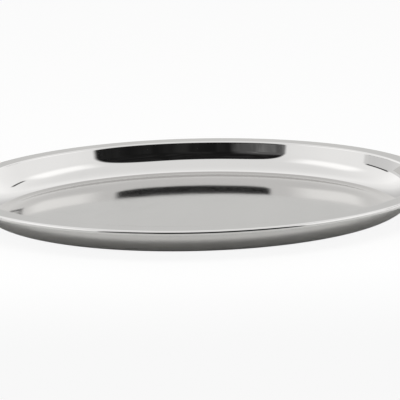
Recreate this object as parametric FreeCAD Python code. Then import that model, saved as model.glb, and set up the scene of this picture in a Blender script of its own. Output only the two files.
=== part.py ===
# Oval serving tray pressed from one sheet of polished stainless steel, with a stiffening
# wire rolled into its edge. Millimetres, +Z up. The origin is the middle of the base's
# underside, which rests on the table at z = 0. +X runs along the tray's long side.
import FreeCAD, Part
import math
import os

# ---- overall sizes -------------------------------------------------------------------
tray_length = 450.0  # along X, over the rolled edge
tray_width = 330.0  # along Y, over the rolled edge
tray_height = 30.0  # underside of the base to the top of the flange

# ---- the pressed sheet ---------------------------------------------------------------
sheet_thickness = 0.8
flange_width = 14.0  # outside of the rolled edge to where the flange bends down
corner_radius = 2.5  # upper face of the bend between flange and wall
wall_slope = 76.0  # degrees between the floor and the wall's straight stretch
knee_radius = 25.0  # upper face of the bend between wall and floor

# ---- the rolled edge and its wire ----------------------------------------------------
wire_diameter = 3.0
wire_clearance = 0.05  # between the wire and the sheet rolled round it
roll_angle = 290.0  # degrees that the sheet turns round the wire
wire_end_gap = 1.5  # between the wire's two cut ends, at the +X end of the tray

# ---- sizes that follow ---------------------------------------------------------------
half_length = tray_length / 2
half_width = tray_width / 2
slope = math.radians(wall_slope)
wire_radius = wire_diameter / 2
roll_inner_radius = wire_radius + wire_clearance
roll_outer_radius = roll_inner_radius + sheet_thickness
roll_height = tray_height - roll_outer_radius
bend_fall = (corner_radius + knee_radius) * (1 - math.cos(slope))
wall_rise = tray_height - sheet_thickness - bend_fall
wall_run = wall_rise / math.tan(slope)
bend_run = (corner_radius + knee_radius) * math.sin(slope)
floor_inset = flange_width + bend_run + wall_run

# the outline seen from above: its outermost point at the +X end starts the ellipse
outline = Part.Ellipse(FreeCAD.Vector(0, 0, 0), half_length, half_width)


def bend(centre_inset, centre_height, radius, start, end):
    """An arc of the sheet's section at the +X end. Its centre is `centre_inset` inwards from
    the outermost point. Angles are in radians, 0 pointing outwards and pi / 2 upwards."""
    points = []
    for angle in (start, (start + end) / 2, end):
        x = half_length - centre_inset + radius * math.cos(angle)
        z = centre_height + radius * math.sin(angle)
        points.append(FreeCAD.Vector(x, 0, z))
    return Part.Arc(*points).toShape()


def joined_with_lines(bends):
    """One open wire of the bends in order, with a straight stretch from each to the next."""
    edges = [bends[0]]
    for arc in bends[1:]:
        last_end = edges[-1].valueAt(edges[-1].LastParameter)
        edges.append(Part.makeLine(last_end, arc.valueAt(arc.FirstParameter)))
        edges.append(arc)
    return Part.Wire(edges)


def sheet_section():
    """The sheet in section: up its upper face, round the wire, and back along the lower."""
    down = -math.pi / 2
    up = math.pi / 2
    knee_height = sheet_thickness + knee_radius
    knee_top = down + slope
    corner_height = tray_height - corner_radius
    corner_bottom = up + slope
    roll_end = up - math.radians(roll_angle)
    upper_face = [
        bend(floor_inset, knee_height, knee_radius, down, knee_top),
        bend(flange_width, corner_height, corner_radius, corner_bottom, up),
        bend(roll_outer_radius, roll_height, roll_outer_radius, up, roll_end),
    ]
    lower_face = [
        bend(roll_outer_radius, roll_height, roll_inner_radius, roll_end, up),
        bend(flange_width, corner_height, corner_radius - sheet_thickness, up, corner_bottom),
        bend(floor_inset, knee_height, knee_radius + sheet_thickness, knee_top, down),
    ]
    return joined_with_lines(upper_face + lower_face)


def floor_faces(rim_shell):
    """A flat face across each of the two loops where the swept sheet meets the floor."""
    faces = []
    for edge in rim_shell.Edges:
        on_floor = edge.BoundBox.ZMax < sheet_thickness + wire_clearance
        if edge.isClosed() and on_floor:
            faces.append(Part.Face(Part.Wire([edge])))
    return faces


def make_tray_pan():
    """Floor, wall, flange and rolled edge: one sheet of the same thickness all over."""
    rim_shell = Part.Wire([outline.toShape()]).makePipeShell([sheet_section()], False, True)
    skin = Part.makeShell(rim_shell.Faces + floor_faces(rim_shell))
    skin.sewShape()
    return Part.makeSolid(skin)


def make_rim_wire():
    """A round wire bent to the outline inside the rolled edge, its two ends left butting."""
    gap_angle = wire_end_gap / 2 / half_width
    path = outline.toShape(gap_angle, 2 * math.pi - gap_angle)
    start = path.valueAt(gap_angle)
    along = path.tangentAt(gap_angle)
    inwards = FreeCAD.Vector(-along.y, along.x, 0)
    centre = start + inwards * roll_outer_radius
    centre.z = roll_height
    section = Part.Wire([Part.makeCircle(wire_radius, centre, along)])
    return Part.Wire([path]).makePipeShell([section], True, True)


os.makedirs("parts", exist_ok=True)
for name, shape in (("tray_pan", make_tray_pan()), ("rim_wire", make_rim_wire())):
    if not shape.isValid() or shape.Volume <= 0:
        raise ValueError(f"{name} isn't a sound solid")
    shape.exportStep(f"parts/{name}.step")
    print(name, f"{shape.Volume / 1000:.1f} cm3")
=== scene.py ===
import math

import bmesh
import bpy
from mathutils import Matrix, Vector


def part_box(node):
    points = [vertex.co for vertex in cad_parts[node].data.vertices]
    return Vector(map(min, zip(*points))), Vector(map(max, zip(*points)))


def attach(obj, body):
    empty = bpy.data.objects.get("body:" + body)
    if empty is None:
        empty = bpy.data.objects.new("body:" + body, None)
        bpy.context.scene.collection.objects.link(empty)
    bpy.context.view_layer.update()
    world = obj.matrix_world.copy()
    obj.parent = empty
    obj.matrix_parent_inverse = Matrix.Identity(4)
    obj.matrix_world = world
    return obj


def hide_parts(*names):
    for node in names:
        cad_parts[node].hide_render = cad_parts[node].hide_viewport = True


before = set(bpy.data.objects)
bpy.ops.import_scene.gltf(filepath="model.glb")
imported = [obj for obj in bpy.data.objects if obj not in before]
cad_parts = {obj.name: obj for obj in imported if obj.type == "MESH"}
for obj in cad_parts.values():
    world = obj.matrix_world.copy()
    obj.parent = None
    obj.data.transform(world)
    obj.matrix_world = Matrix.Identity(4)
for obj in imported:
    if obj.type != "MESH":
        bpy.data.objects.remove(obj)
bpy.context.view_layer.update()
scene = bpy.context.scene


# ======================================================================================
# The tray pan: one sheet of stainless steel, deep drawn in an oval die and then mirror
# polished on both faces. Its edge is rolled outwards and under, round a stiffening wire.
# ======================================================================================
half_length, half_width, tray_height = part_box("tray_pan")[1]
sheet_thickness = 0.0008
flange_width = 0.014
corner_radius = 0.0025
knee_radius = 0.025
wall_slope = math.radians(76)
roll_outer_radius = 0.00235
roll_angle = math.radians(290)
bend_run = (corner_radius + knee_radius) * math.sin(wall_slope)
bend_fall = (corner_radius + knee_radius) * (1 - math.cos(wall_slope))
wall_run = (tray_height - sheet_thickness - bend_fall) / math.tan(wall_slope)
floor_inset = flange_width + bend_run + wall_run
support_gap = 0.0003
bends_length = (knee_radius + corner_radius) * wall_slope + roll_outer_radius * roll_angle
straights_length = wall_run / math.cos(wall_slope) + flange_width - roll_outer_radius
upper_face_length = support_gap + bends_length + straights_length
steps_round = 480
knee_steps = 44
knee_under_steps = 20
corner_steps = 22
corner_under_steps = 10
roll_steps = 34
roll_inner_steps = 16
crease_angle = math.radians(35)

polished_colour = (0.645, 0.638, 0.628, 1)
wiped_colour = (0.630, 0.624, 0.614, 1)
polished_roughness = 0.03
wiped_more = 0.025  # what each kind of wear adds to the polished roughness
specks_more = 0.05
floor_use_more = 0.05
buffing_more = (-0.012, 0.03)
underside_more = (0.03, 0.06)
resting_more = (0.04, 0.20)
smear_size = 11.0
scuff_scale = 42.0
buffing_fineness = 1500.0
buffing_depth = 0.0000002
sheet_wave_scale = 16.0
sheet_wave_depth = 0.00016


def outline_place(turn, inset, height):
    """The point `inset` inside the tray's oval outline, at one turn of the ellipse."""
    inwards = Vector((-math.cos(turn) / half_length, -math.sin(turn) / half_width, 0))
    inwards.normalize()
    edge = Vector((half_length * math.cos(turn), half_width * math.sin(turn), height))
    return edge + inwards * inset


def bend(centre_inset, centre_height, radius, start, end, steps):
    """Points of one rounded bend of the sheet's section, as (inset, height) pairs."""
    points = []
    for step in range(steps + 1):
        angle = start + (end - start) * step / steps
        inset = centre_inset - radius * math.cos(angle)
        points.append((inset, centre_height + radius * math.sin(angle)))
    return points


def with_supports(bends):
    """The bends in a row, with a point just inside each end of every straight stretch."""
    points = list(bends[0])
    for arc in bends[1:]:
        last = Vector(points[-1])
        first = Vector(arc[0])
        gap = first - last
        if gap.length > 3 * support_gap:
            points.append(tuple(last + gap.normalized() * support_gap))
            points.append(tuple(first - gap.normalized() * support_gap))
        points.extend(arc)
    return points


def pan_section():
    """The sheet in section: up its upper face, round the roll, and back underneath."""
    down = -math.pi / 2
    up = math.pi / 2
    knee_top = down + wall_slope
    corner_bottom = up + wall_slope
    roll_end = up - roll_angle
    knee_height = sheet_thickness + knee_radius
    knee_under_radius = knee_radius + sheet_thickness
    corner_height = tray_height - corner_radius
    corner_under_radius = corner_radius - sheet_thickness
    roll_height = tray_height - roll_outer_radius
    roll_inner_radius = roll_outer_radius - sheet_thickness
    upper = with_supports([
        bend(floor_inset, knee_height, knee_radius, down, knee_top, knee_steps),
        bend(flange_width, corner_height, corner_radius, corner_bottom, up, corner_steps),
        bend(roll_outer_radius, roll_height, roll_outer_radius, up, roll_end, roll_steps),
    ])
    lower = with_supports([
        bend(roll_outer_radius, roll_height, roll_inner_radius, roll_end, up,
             roll_inner_steps),
        bend(flange_width, corner_height, corner_under_radius, up, corner_bottom,
             corner_under_steps),
        bend(floor_inset, knee_height, knee_under_radius, knee_top, down,
             knee_under_steps),
    ])
    inner_edge = floor_inset + support_gap
    return [(inner_edge, sheet_thickness)] + upper + lower + [(inner_edge, 0)]


def round_blank(bm, segments, layer):
    """A capped disc whose corners remember their own angle; returns its ring of edges."""
    bmesh.ops.create_circle(bm, cap_ends=True, segments=segments, radius=1)
    for vert in bm.verts:
        vert[layer] = math.atan2(vert.co.y, vert.co.x)
    return list(bm.edges)


def next_ring(bm, ring):
    """Draws a ring of edges on by one step; returns the new ring and its corners."""
    grown = bmesh.ops.extrude_edge_only(bm, edges=ring)["geom"]
    corners = [part for part in grown if isinstance(part, bmesh.types.BMVert)]
    edges = [part for part in grown if isinstance(part, bmesh.types.BMEdge)]
    return [edge for edge in edges if edge.is_boundary], corners


def closed_mesh(bm, ring, name):
    """Closes the last ring, smooths the skin, and makes the whole a mesh."""
    bmesh.ops.edgeloop_fill(bm, edges=ring)
    bmesh.ops.recalc_face_normals(bm, faces=bm.faces)
    for face in bm.faces:
        face.smooth = True
    mesh = bpy.data.meshes.new(name)
    bm.to_mesh(mesh)
    bm.free()
    mesh.set_sharp_from_angle(angle=crease_angle)
    return mesh


def make_pan_mesh():
    """One closed skin: a ring of edges carried through the whole section."""
    section = pan_section()
    bm = bmesh.new()
    turn_layer = bm.verts.layers.float.new("turn")
    across_layer = bm.verts.layers.float.new("across")
    ring = round_blank(bm, steps_round, turn_layer)
    for vert in bm.verts:
        vert.co = outline_place(vert[turn_layer], *section[0])
    across = 0.0
    for last, place in zip(section, section[1:]):
        across += math.dist(last, place)
        ring, corners = next_ring(bm, ring)
        for vert in corners:
            vert.co = outline_place(vert[turn_layer], *place)
            vert[across_layer] = across
    return closed_mesh(bm, ring, "tray_pan")


def add_node(tree, kind, settings=None, **inputs):
    """Adds a node; its inputs are sockets or values, by name or by place as _0, _1."""
    node = tree.nodes.new(kind)
    for name, value in (settings or {}).items():
        setattr(node, name, value)
    for name, value in inputs.items():
        socket = node.inputs[int(name[1:])] if name[1:].isdigit() else node.inputs[name]
        if isinstance(value, bpy.types.NodeSocket):
            tree.links.new(value, socket)
        else:
            socket.default_value = value
    return node


def math_node(tree, operation, first, second=0.0, third=0.0):
    """One step of arithmetic between sockets or values; returns its output."""
    settings = {"operation": operation}
    return add_node(
        tree, "ShaderNodeMath", settings, _0=first, _1=second, _2=third
    ).outputs[0]


def map_range(tree, value, low, high, to_low, to_high):
    """Carries a value smoothly from one range to another, held at both ends."""
    settings = {"interpolation_type": "SMOOTHSTEP"}
    return add_node(
        tree, "ShaderNodeMapRange", settings, _0=value, _1=low, _2=high, _3=to_low,
        _4=to_high,
    ).outputs[0]


def noise(tree, place, scale, **inputs):
    """A noise pattern's 0 to 1 value at a place."""
    return add_node(
        tree, "ShaderNodeTexNoise", {"noise_dimensions": "3D"}, Vector=place, Scale=scale,
        **inputs,
    ).outputs["Fac"]


def mixed_colour(tree, share, first, second):
    """A colour between two, each a socket or four plain numbers."""
    return add_node(
        tree, "ShaderNodeMix", {"data_type": "RGBA"}, Factor=share, _6=first, _7=second
    ).outputs[2]


def new_material(name):
    """An empty node material; returns it with its node tree and its output node."""
    material = bpy.data.materials.new(name)
    material.use_nodes = True
    tree = material.node_tree
    tree.nodes.clear()
    return material, tree, tree.nodes.new("ShaderNodeOutputMaterial")


def new_group(name, sockets_in, sockets_out):
    """A shader node group with named float or vector sockets."""
    group = bpy.data.node_groups.new(name, "ShaderNodeTree")
    for label, kind, value in sockets_in:
        socket = group.interface.new_socket(label, in_out="INPUT", socket_type=kind)
        if value is not None:
            socket.default_value = value
    for label in sockets_out:
        group.interface.new_socket(
            label, in_out="OUTPUT", socket_type="NodeSocketFloat"
        )
    return group, group.nodes.new("NodeGroupInput"), group.nodes.new("NodeGroupOutput")


def make_wear_group():
    """Handling marks: broad wiped smears and small water specks, as 0 to 1 masks."""
    group, taken, given = new_group(
        "handling marks",
        [("Place", "NodeSocketVector", None), ("Smear Size", "NodeSocketFloat", 14.0)],
        ["Smears", "Specks"],
    )
    place = taken.outputs["Place"]
    smear = noise(
        group, place, taken.outputs["Smear Size"], Detail=5.0, Roughness=0.62,
        Distortion=1.4,
    )
    smeared = map_range(group, smear, 0.45, 0.72, 0.0, 1.0)
    group.links.new(smeared, given.inputs["Smears"])
    specks = add_node(
        group, "ShaderNodeTexVoronoi", {"feature": "F1"}, Vector=place, Scale=160.0,
        Randomness=1.0,
    )
    dots = map_range(group, specks.outputs["Distance"], 0.05, 0.14, 1.0, 0.0)
    chance = map_range(group, specks.outputs["Color"], 0.86, 0.92, 0.0, 1.0)
    specked = math_node(group, "MULTIPLY", dots, chance)
    group.links.new(specked, given.inputs["Specks"])
    return group


def make_lines_group():
    """Fine drawn or buffed lines that run along X of the coordinates it is given."""
    group, taken, given = new_group(
        "buffing lines",
        [("Place", "NodeSocketVector", None), ("Fineness", "NodeSocketFloat", 900.0)],
        ["Lines"],
    )
    squeezed = add_node(
        group, "ShaderNodeVectorMath", {"operation": "MULTIPLY"},
        _0=taken.outputs["Place"], _1=(0.02, 1.0, 1.0),
    ).outputs[0]
    lines = noise(group, squeezed, taken.outputs["Fineness"], Detail=3.0, Roughness=0.7)
    group.links.new(lines, given.inputs["Lines"])
    return group


wear_group = make_wear_group()
lines_group = make_lines_group()


def grouped(tree, group, **inputs):
    """A node that uses one of the shared groups; returns its outputs."""
    node = tree.nodes.new("ShaderNodeGroup")
    node.node_tree = group
    for name, value in inputs.items():
        socket = node.inputs[name.replace("_", " ")]
        if isinstance(value, bpy.types.NodeSocket):
            tree.links.new(value, socket)
        else:
            socket.default_value = value
    return node.outputs


def sheet_roughness(tree, place, height, across, wear, lines):
    """The polish, dulled by smears, specks, use, buffing, and scuffs underneath."""
    roughness = math_node(
        tree, "MULTIPLY_ADD", wear["Smears"], wiped_more, polished_roughness
    )
    roughness = math_node(tree, "MULTIPLY_ADD", wear["Specks"], specks_more, roughness)
    used = map_range(
        tree, height, sheet_thickness + 0.0002, sheet_thickness + 0.001, floor_use_more,
        0.0,
    )
    roughness = math_node(tree, "ADD", roughness, used)
    buffed = map_range(tree, lines, 0.35, 0.75, *buffing_more)
    roughness = math_node(tree, "ADD", roughness, buffed)
    underneath = map_range(
        tree, across, upper_face_length, upper_face_length + 0.001, 0.0, 1.0
    )
    satin = map_range(tree, wear["Smears"], 0.0, 1.0, *underside_more)
    roughness = math_node(tree, "MULTIPLY_ADD", underneath, satin, roughness)
    resting = map_range(tree, height, 0.0001, 0.0006, 1.0, 0.0)
    scuffs = noise(tree, place, scuff_scale, Detail=8.0, Roughness=0.72, Distortion=2.5)
    scuffed = map_range(tree, scuffs, 0.42, 0.66, *resting_more)
    return math_node(tree, "MULTIPLY_ADD", resting, scuffed, roughness)


def make_polished_steel():
    """Mirror polished stainless sheet, a little wavy, with faint buffing lines."""
    material, tree, out = new_material("polished steel")
    place = tree.nodes.new("ShaderNodeTexCoord").outputs["Object"]
    parts = add_node(tree, "ShaderNodeSeparateXYZ", None, _0=place).outputs
    across = add_node(
        tree, "ShaderNodeAttribute", {"attribute_name": "across"}
    ).outputs["Fac"]
    beside = add_node(
        tree, "ShaderNodeCombineXYZ", None, _0=parts["X"],
        _1=math_node(tree, "ADD", parts["Y"], across), _2=across,
    ).outputs[0]
    lines = grouped(tree, lines_group, Place=beside, Fineness=buffing_fineness)["Lines"]
    wear = grouped(tree, wear_group, Place=place, Smear_Size=smear_size)
    wave = noise(tree, place, sheet_wave_scale, Detail=1.5, Roughness=0.4)
    wave_height = math_node(tree, "MULTIPLY", wave, sheet_wave_depth)
    line_height = math_node(tree, "MULTIPLY", lines, buffing_depth)
    bump = add_node(
        tree, "ShaderNodeBump", None, Strength=1.0, Distance=1.0,
        Height=math_node(tree, "ADD", wave_height, line_height),
    )
    steel = add_node(tree, "ShaderNodeBsdfPrincipled", None, Metallic=1.0)
    colour = mixed_colour(tree, wear["Smears"], polished_colour, wiped_colour)
    roughness = sheet_roughness(tree, place, parts["Z"], across, wear, lines)
    tree.links.new(colour, steel.inputs["Base Color"])
    tree.links.new(roughness, steel.inputs["Roughness"])
    tree.links.new(bump.outputs["Normal"], steel.inputs["Normal"])
    tree.links.new(steel.outputs[0], out.inputs["Surface"])
    return material


tray_pan = bpy.data.objects.new("pressed_pan", make_pan_mesh())
scene.collection.objects.link(tray_pan)
tray_pan.data.materials.append(make_polished_steel())
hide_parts("tray_pan")
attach(tray_pan, "root")


# ======================================================================================
# The rim wire: 3 mm bright drawn stainless wire, bent to the oval with its two ends left
# butting. The roll hides it, but for a thin strip seen from below the flange.
# ======================================================================================
wire_radius = 0.0015
wire_end_gap = 0.0015
steps_along_wire = 300
steps_round_wire = 20
drawn_colour = (0.52, 0.51, 0.49, 1)
dulled_colour = (0.36, 0.35, 0.33, 1)
drawn_roughness = (0.22, 0.34)
drawing_fineness = 2600.0
drawing_depth = 0.00002
dulled_patch_size = 40.0


def make_wire_mesh():
    """A round section carried along the oval, from one cut end to the other."""
    gap_turn = wire_end_gap / 2 / half_width
    height = tray_height - roll_outer_radius
    bm = bmesh.new()
    angle_layer = bm.verts.layers.float.new("angle")
    ring = round_blank(bm, steps_round_wire, angle_layer)
    corners = list(bm.verts)
    for step in range(steps_along_wire + 1):
        turn = gap_turn + (2 * math.pi - 2 * gap_turn) * step / steps_along_wire
        if step > 0:
            ring, corners = next_ring(bm, ring)
        for vert in corners:
            inset = roll_outer_radius - wire_radius * math.cos(vert[angle_layer])
            above = wire_radius * math.sin(vert[angle_layer])
            vert.co = outline_place(turn, inset, height + above)
    return closed_mesh(bm, ring, "rim_wire_finish")


def make_drawn_wire():
    """Bright drawn wire: duller than the sheet, with fine lines from the drawing die."""
    material, tree, out = new_material("drawn steel wire")
    place = tree.nodes.new("ShaderNodeTexCoord").outputs["Object"]
    lines = grouped(tree, lines_group, Place=place, Fineness=drawing_fineness)["Lines"]
    wear = grouped(tree, wear_group, Place=place, Smear_Size=dulled_patch_size)
    bump = add_node(
        tree, "ShaderNodeBump", None, Strength=0.4, Distance=drawing_depth, Height=lines
    )
    steel = add_node(tree, "ShaderNodeBsdfPrincipled", None, Metallic=1.0)
    colour = mixed_colour(tree, wear["Smears"], drawn_colour, dulled_colour)
    roughness = map_range(tree, lines, 0.3, 0.7, *drawn_roughness)
    tree.links.new(colour, steel.inputs["Base Color"])
    tree.links.new(roughness, steel.inputs["Roughness"])
    tree.links.new(bump.outputs["Normal"], steel.inputs["Normal"])
    tree.links.new(steel.outputs[0], out.inputs["Surface"])
    return material


rim_wire = bpy.data.objects.new("stiffening_wire", make_wire_mesh())
scene.collection.objects.link(rim_wire)
rim_wire.data.materials.append(make_drawn_wire())
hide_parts("rim_wire")
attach(rim_wire, "root")


# ======================================================================================
# The table: a wide matt white board under the tray. Its colour is painted darker in
# front of the tray, a painted shade that the polished outer wall mirrors, and it looks
# almost white to the camera.
# ======================================================================================
table_radius = 9.0
table_drop = 0.0002
table_pale = (0.90, 0.90, 0.89, 1)
table_dull = (0.88, 0.88, 0.87, 1)
shade_full_y = -0.36
shade_none_y = -0.16
shade_left = 0.40
bleached_share = 0.90


def make_table():
    """A big flat disc with a matt, very slightly uneven white surface."""
    bm = bmesh.new()
    bmesh.ops.create_circle(bm, cap_ends=True, segments=96, radius=table_radius)
    mesh = bpy.data.meshes.new("studio_table")
    bm.to_mesh(mesh)
    bm.free()
    material, tree, out = new_material("matt white board")
    place = tree.nodes.new("ShaderNodeTexCoord").outputs["Object"]
    parts = add_node(tree, "ShaderNodeSeparateXYZ", None, _0=place).outputs
    mottle = noise(tree, place, 6.0, Detail=4.0)
    colour = mixed_colour(tree, mottle, table_pale, table_dull)
    # painted shade: the board's colour is scaled down to shade_left towards the camera,
    # between shade_none_y and shade_full_y
    shaded = add_node(
        tree, "ShaderNodeVectorMath", {"operation": "SCALE"}, _0=colour,
        Scale=map_range(tree, parts["Y"], shade_full_y, shade_none_y, shade_left, 1.0),
    ).outputs[0]
    board = add_node(tree, "ShaderNodeBsdfDiffuse", None, Color=shaded, Roughness=0.6)
    bleached = add_node(tree, "ShaderNodeEmission", None, Strength=1.0)
    seen = tree.nodes.new("ShaderNodeLightPath").outputs["Is Camera Ray"]
    mixed = add_node(
        tree, "ShaderNodeMixShader", None,
        _0=math_node(tree, "MULTIPLY", seen, bleached_share), _1=board.outputs[0],
        _2=bleached.outputs[0],
    )
    tree.links.new(mixed.outputs[0], out.inputs["Surface"])
    mesh.materials.append(material)
    return mesh


table = bpy.data.objects.new("studio_table", make_table())
table.location.z = -table_drop
scene.collection.objects.link(table)


# ======================================================================================
# The light tent: bright cloth overhead and at the sides, two soft boxes, a bench and a
# rail that the steel shows as dark lines, and a wide opening on the camera's side, through
# which it shows a dark room.
# ======================================================================================
# Angles here are in degrees. A turn goes from -Y towards +X, and a rise up from the table.
# A pair is where a mask is full and where it is gone; a middle goes before it.
cloth_levels = (
    (0.0, 0.54), (0.15, 0.53), (0.50, 0.53), (0.65, 0.56), (0.78, 0.64), (0.86, 0.58),
    (0.94, 0.38),
)  # brightness along Y, from the camera's side at 0 to the far side at 1
cloth_far_colour = (0.375, 0.374, 0.367, 1)
cloth_gain = (2.0, 2.28)  # in the middle, and at the sides
fold_scale = 34.0
fold_depth_most = 0.09
opening_middle_turn = 2
opening_half_turn = 38
opening_rise = 50.5
opening_rise_lean = 2.0
opening_squareness = (7.0, 4.3)  # of its upper corners, towards -X and towards +X
room_levels = (0.013, 0.032)
curtain_turn = (-27, 8, 14)
curtain_rise = (16, 27)
curtain_level = 0.32
bench_turn = (-90, -82)
bench_rise = (8.5, 10)
bench_shade = 0.30
bench_edge_turn = (-97, 10, 14)
bench_edge_rise = (10.4, 1.4, 2.4)
bench_edge_shade = 0.97
rail_turn = (108, 6, 12)
rail_rise = (37, 1.0, 2.2)
rail_shade = 0.9
soft_box_turn = (70, 13, 30)
soft_box_rise = (41, 3, 15)
soft_box_level = 0.37
table_light_level = 0.58

room = bpy.data.worlds.new("light tent")
room.use_nodes = True
scene.world = room
tent = room.node_tree
tent.nodes.clear()
towards = tent.nodes.new("ShaderNodeTexCoord").outputs["Generated"]
aside, back, upward = add_node(tent, "ShaderNodeSeparateXYZ", None, _0=towards).outputs
turn = math_node(tent, "ARCTAN2", aside, math_node(tent, "MULTIPLY", back, -1.0))
rise = math_node(tent, "ARCSINE", upward)


def fading(angle, full, gone, level=1.0):
    """A mask that falls from its level to nothing as an angle grows."""
    return map_range(tent, angle, math.radians(full), math.radians(gone), level, 0.0)


def fading_from(angle, middle, full, gone, level=1.0):
    """A mask that falls from its level to nothing on both sides of a middle angle."""
    off = math_node(tent, "SUBTRACT", angle, math.radians(middle))
    return fading(math_node(tent, "ABSOLUTE", off), full, gone, level)


def scaled(colour, amount):
    """A colour made brighter or darker."""
    return add_node(
        tent, "ShaderNodeVectorMath", {"operation": "SCALE"}, _0=colour, Scale=amount
    ).outputs[0]


# the tent's cloth, brighter at the sides, with upright folds on the far side
sweep = add_node(
    tent, "ShaderNodeMapRange", None, _0=back, _1=-1.0, _2=1.0, _3=0.0, _4=1.0
).outputs[0]
ramp = add_node(tent, "ShaderNodeValToRGB", None, _0=sweep)
stops = ramp.color_ramp.elements
stops[1].color = cloth_far_colour
for position, level in cloth_levels:
    stop = stops.new(position) if position > 0 else stops[0]
    stop.color = (level, level, level, 1)
gain = map_range(tent, math_node(tent, "ABSOLUTE", aside), 0.35, 0.9, *cloth_gain)
across_cloth = add_node(tent, "ShaderNodeCombineXYZ", None, _0=aside).outputs[0]
folds = noise(tent, across_cloth, fold_scale, Detail=2.0, Roughness=0.5)
fold_depth = map_range(tent, back, 0.70, 0.92, 0.0, fold_depth_most)
fold_shade = math_node(tent, "SUBTRACT", folds, 0.5)
folded = math_node(tent, "MULTIPLY_ADD", fold_shade, fold_depth, 1.0)
cloth = scaled(ramp.outputs[0], math_node(tent, "MULTIPLY", gain, folded))

# the dark room, seen through the opening, whose upper corners are rounded
turn_from_middle = math_node(tent, "SUBTRACT", turn, math.radians(opening_middle_turn))
turn_share = math_node(
    tent, "DIVIDE", turn_from_middle, math.radians(opening_half_turn)
)
leaning_rise = math_node(
    tent, "MULTIPLY_ADD", turn_share, math.radians(opening_rise_lean),
    math.radians(opening_rise),
)
rise_share = math_node(tent, "DIVIDE", rise, leaning_rise)
squareness = map_range(
    tent, turn_from_middle, math.radians(-6), math.radians(6), *opening_squareness
)
corner = math_node(
    tent, "ADD",
    math_node(tent, "POWER", math_node(tent, "ABSOLUTE", turn_share), squareness),
    math_node(tent, "POWER", math_node(tent, "MAXIMUM", rise_share, 0.0), squareness),
)
opening = map_range(tent, corner, 0.85, 1.15, 1.0, 0.0)
clutter = noise(tent, towards, 3.5, Detail=4.0, Distortion=2.0)
room_light = map_range(tent, clutter, 0.40, 0.75, *room_levels)
curtain = math_node(
    tent, "MULTIPLY", fading_from(turn, *curtain_turn, curtain_level),
    fading(rise, *curtain_rise),
)
curtain_folds = map_range(tent, clutter, 0.40, 0.62, 0.3, 1.0)
curtain_light = math_node(tent, "MULTIPLY", curtain, curtain_folds)
room_seen = math_node(tent, "ADD", room_light, curtain_light)
tent_light = mixed_colour(tent, opening, cloth, room_seen)

# towards -X a low grey bench with a dark top edge, and towards +X a thin rail, high up
raggedness = math_node(tent, "SUBTRACT", clutter, 0.5)
ragged_turn = math_node(tent, "MULTIPLY_ADD", raggedness, 0.5, turn)
bench = math_node(
    tent, "MULTIPLY", fading(ragged_turn, *bench_turn),
    fading(rise, *bench_rise, bench_shade),
)
bench_edge = math_node(
    tent, "MULTIPLY", fading_from(turn, *bench_edge_turn, bench_edge_shade),
    fading_from(rise, *bench_edge_rise),
)
rail = math_node(
    tent, "MULTIPLY", fading_from(turn, *rail_turn, rail_shade),
    fading_from(rise, *rail_rise),
)
shading = math_node(tent, "MAXIMUM", math_node(tent, "MAXIMUM", bench, bench_edge), rail)
shaded_light = scaled(tent_light, math_node(tent, "SUBTRACT", 1.0, shading))

# two long soft boxes beside the camera, part way up the tent
either_side = math_node(tent, "ABSOLUTE", turn)
soft_box = math_node(
    tent, "MULTIPLY", fading_from(either_side, *soft_box_turn),
    fading_from(rise, *soft_box_rise),
)
whole_light = add_node(
    tent, "ShaderNodeVectorMath", {"operation": "ADD"}, _0=shaded_light,
    _1=math_node(tent, "MULTIPLY", soft_box, soft_box_level),
).outputs[0]

# what the steel mirrors, what lights the table, and the plain backdrop the camera sees
paths = tent.nodes.new("ShaderNodeLightPath").outputs
mirrored = add_node(tent, "ShaderNodeBackground", None, Color=whole_light, Strength=1.0)
table_light = add_node(
    tent, "ShaderNodeBackground", None, Color=whole_light, Strength=table_light_level
)
backdrop = add_node(
    tent, "ShaderNodeBackground", None, Color=(1, 1, 1, 1), Strength=1.0
)
lit = add_node(
    tent, "ShaderNodeMixShader", None, _0=paths["Is Diffuse Ray"],
    _1=mirrored.outputs[0], _2=table_light.outputs[0],
)
shown = add_node(
    tent, "ShaderNodeMixShader", None, _0=paths["Is Camera Ray"], _1=lit.outputs[0],
    _2=backdrop.outputs[0],
)
world_out = tent.nodes.new("ShaderNodeOutputWorld")
tent.links.new(shown.outputs[0], world_out.inputs["Surface"])


# ======================================================================================
# The key light and the camera: a soft box above the camera, which the steel does not
# show, and a long lens that looks across the tray from a little above its long side.
# ======================================================================================
key_data = bpy.data.lights.new("key light", "AREA")
key_data.shape = "RECTANGLE"
key_data.size = 1.3
key_data.size_y = 0.5
key_data.energy = 12
key = bpy.data.objects.new("key light", key_data)
key.location = (0, -0.75, 1.3)
key.rotation_euler = (math.radians(30), 0, 0)
key.visible_glossy = False
scene.collection.objects.link(key)

camera_rise = math.radians(16.395)
camera_distance = 1.350
camera_roll = math.radians(-1.353)
camera_aim = Vector((0.0041, 0.0023, 0.0088))
camera_data = bpy.data.cameras.new("camera")
camera_data.sensor_width = 36
camera_data.lens = 128.31
camera_data.clip_end = 50
camera = bpy.data.objects.new("camera", camera_data)
scene.collection.objects.link(camera)
camera.location = (
    0,
    -camera_distance * math.cos(camera_rise),
    sheet_thickness + camera_distance * math.sin(camera_rise),
)
look = (camera_aim - camera.location).to_track_quat("-Z", "Y").to_matrix().to_4x4()
camera.rotation_euler = look.to_euler()
camera.rotation_euler.rotate_axis("Z", camera_roll)
scene.camera = camera
scene.view_settings.view_transform = "Standard"

bpy.context.view_layer.update()
